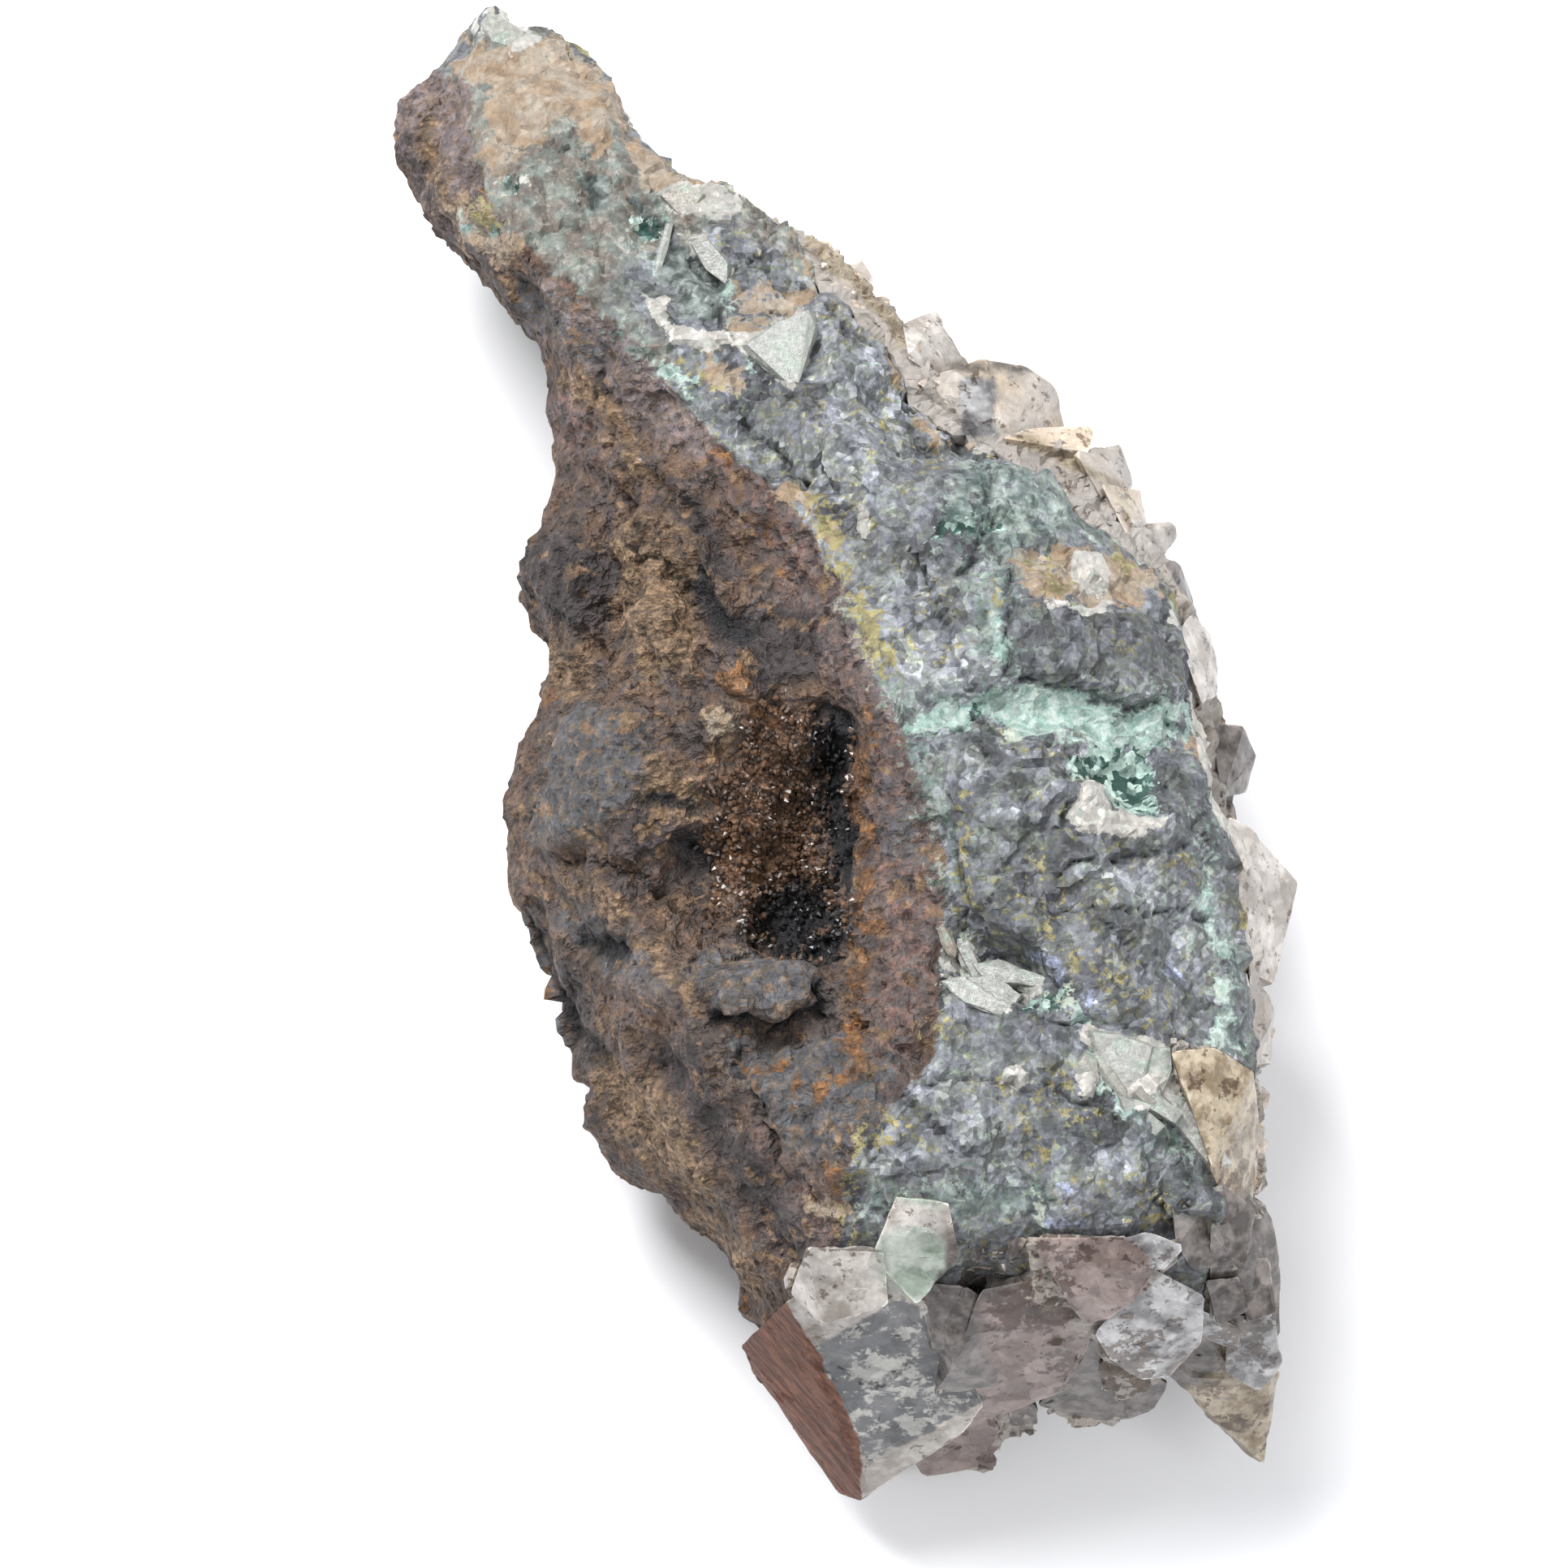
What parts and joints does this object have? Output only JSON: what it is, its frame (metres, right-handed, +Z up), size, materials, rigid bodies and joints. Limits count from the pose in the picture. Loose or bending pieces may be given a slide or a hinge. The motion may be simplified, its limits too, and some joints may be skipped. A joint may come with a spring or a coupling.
{
  "type": "bournonite specimen",
  "caption": "Hand specimen of bournonite ore with rusty gossan, green malachite staining and quartz crystals along one side.",
  "frame": {"origin": "bottom centre of the bounding box, on the surface that the specimen lies on", "axes": "+Z up from the flat fracture of the back to the face; +Y along the specimen towards its thin end; +X across to the side with the quartz crystals"},
  "size_m": [0.0758, 0.1268, 0.0453],
  "materials": {
    "ore_rock": "rough broken rock, rusty brown on the left and dull grey metallic on the right",
    "quartz": "milky to smoky quartz with glassy faces and brown stains",
    "druse": "dark glittering crystal crust"
  },
  "bodies": {
    "root": {"ore_block": "ore_rock", "quartz_crystals": "quartz", "vug_druse": "druse"}
  },
  "joints": []
}
